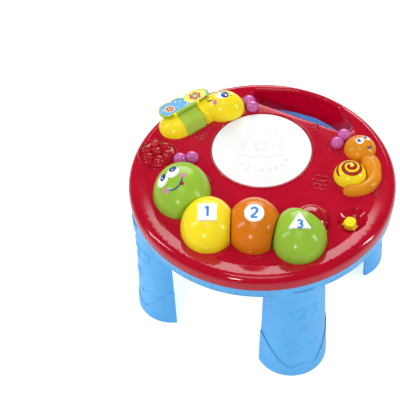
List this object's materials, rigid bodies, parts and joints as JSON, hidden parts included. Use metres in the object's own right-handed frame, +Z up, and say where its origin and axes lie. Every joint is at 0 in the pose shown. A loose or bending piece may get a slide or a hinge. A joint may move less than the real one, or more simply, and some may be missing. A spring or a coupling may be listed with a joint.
{
  "type": "musical activity table",
  "caption": "Round children's activity table with a drum pad, pressing keys, a fluted roller, a flipping wing, a turning shell, lamps, a hand hole and pull-off legs.",
  "frame": {"origin": "on the floor under the middle of the round top", "axes": "+Z up; the hand hole is towards +Y and the worm's keys are towards -Y"},
  "size_m": [0.32, 0.32, 0.2263],
  "materials": {
    "red_plastic": "gloss",
    "blue_plastic": "gloss",
    "milky_plastic": "satin",
    "white_plastic": "gloss",
    "green_plastic": "gloss",
    "yellow_plastic": "gloss",
    "orange_plastic": "gloss",
    "pink_plastic": "gloss",
    "clear_red": "gloss",
    "steel": "satin",
    "circuit_board": "satin",
    "black_plastic": "matt",
    "carbon_rubber": "matt",
    "speaker_paper": "matt",
    "cell_case": "gloss",
    "lamp_resin": "gloss",
    "wire_cover": "satin"
  },
  "bodies": {
    "case": {"top_shell": "red_plastic", "bottom_shell": "blue_plastic", "drum_reflector": "white_plastic", "drum_springs": "steel", "drum_contacts": "carbon_rubber", "head_spring": "steel", "yellow_spring": "steel", "orange_spring": "steel", "green_spring": "steel", "key_board": "circuit_board", "key_contacts": "carbon_rubber", "worm_antennae": "pink_plastic", "tail_lens": "clear_red", "flower_lens": "clear_red", "butterfly_head": "yellow_plastic", "butterfly_tail": "yellow_plastic", "butterfly_antennae": "pink_plastic", "roller_axle": "steel", "wing_pin": "steel", "snail_body": "orange_plastic", "snail_antennae": "pink_plastic", "slide_switch": "black_plastic", "main_board": "circuit_board", "sound_chip": "black_plastic", "board_screws": "steel", "lamps": "lamp_resin", "speaker_frame": "steel", "speaker_cone": "speaker_paper", "speaker_magnet": "steel", "speaker_clamp": "steel", "batteries": "cell_case", "battery_contacts": "steel", "case_screws": "steel", "trim_screws": "steel", "wiring": "wire_cover"},
    "drum": {"drum_pad": "milky_plastic"},
    "head": {"head_button": "green_plastic"},
    "yellow": {"yellow_key": "yellow_plastic", "square_label": "white_plastic"},
    "orange": {"orange_key": "orange_plastic", "round_label": "white_plastic"},
    "green": {"green_key": "green_plastic", "triangle_label": "white_plastic"},
    "roller": {"roller": "green_plastic"},
    "wing": {"wing": "green_plastic"},
    "shell": {"snail_shell": "yellow_plastic", "shell_retainer": "steel", "shell_screw": "steel"},
    "knob": {"switch_knob": "yellow_plastic"},
    "leg_front_left": {"leg_front_left": "blue_plastic"},
    "leg_front_right": {"leg_front_right": "blue_plastic"},
    "leg_back_left": {"leg_back_left": "blue_plastic"},
    "leg_back_right": {"leg_back_right": "blue_plastic"},
    "door": {"battery_door": "blue_plastic", "door_screw": "steel"}
  },
  "joints": [
    {"name": "drum_press", "type": "slide", "parent": "case", "child": "drum", "axis": [0, 0, -1], "range_m": [0, 0.002], "stiffness_N_per_m": 400, "springref_m": -0.006, "deforming": ["drum_springs"]},
    {"name": "head_press", "type": "slide", "parent": "case", "child": "head", "axis": [0, 0, -1], "range_m": [0, 0.003], "stiffness_N_per_m": 200, "springref_m": -0.005, "deforming": ["head_spring"]},
    {"name": "yellow_press", "type": "slide", "parent": "case", "child": "yellow", "axis": [0, 0, -1], "range_m": [0, 0.003], "stiffness_N_per_m": 200, "springref_m": -0.005, "deforming": ["yellow_spring"]},
    {"name": "orange_press", "type": "slide", "parent": "case", "child": "orange", "axis": [0, 0, -1], "range_m": [0, 0.003], "stiffness_N_per_m": 200, "springref_m": -0.005, "deforming": ["orange_spring"]},
    {"name": "green_press", "type": "slide", "parent": "case", "child": "green", "axis": [0, 0, -1], "range_m": [0, 0.003], "stiffness_N_per_m": 200, "springref_m": -0.005, "deforming": ["green_spring"]},
    {"name": "roller_spin", "type": "hinge", "parent": "case", "child": "roller", "pos_m": [-0.1315, 0.0265, 0.1855], "axis": [0.3987, 0.9171, 0], "continuous": true},
    {"name": "wing_flip", "type": "hinge", "parent": "case", "child": "wing", "pos_m": [-0.1315, 0.0265, 0.2106], "axis": [0.3987, 0.9171, 0], "range_deg": [0, 154]},
    {"name": "shell_spin", "type": "hinge", "parent": "case", "child": "shell", "pos_m": [0.0935, 0.048, 0.19], "axis": [0, 0, 1], "continuous": true},
    {"name": "switch_slide", "type": "slide", "parent": "case", "child": "knob", "axis": [0.1045, 0.9945, 0], "range_m": [0, 0.01]},
    {"name": "leg_pull_front_left", "type": "slide", "parent": "case", "child": "leg_front_left", "axis": [0, 0, -1], "range_m": [0, 0.03]},
    {"name": "leg_pull_front_right", "type": "slide", "parent": "case", "child": "leg_front_right", "axis": [0, 0, -1], "range_m": [0, 0.03]},
    {"name": "leg_pull_back_left", "type": "slide", "parent": "case", "child": "leg_back_left", "axis": [0, 0, -1], "range_m": [0, 0.03]},
    {"name": "leg_pull_back_right", "type": "slide", "parent": "case", "child": "leg_back_right", "axis": [0, 0, -1], "range_m": [0, 0.03]},
    {"name": "door_lift", "type": "slide", "parent": "case", "child": "door", "axis": [0, 0, -1], "range_m": [0, 0.02]}
  ]
}
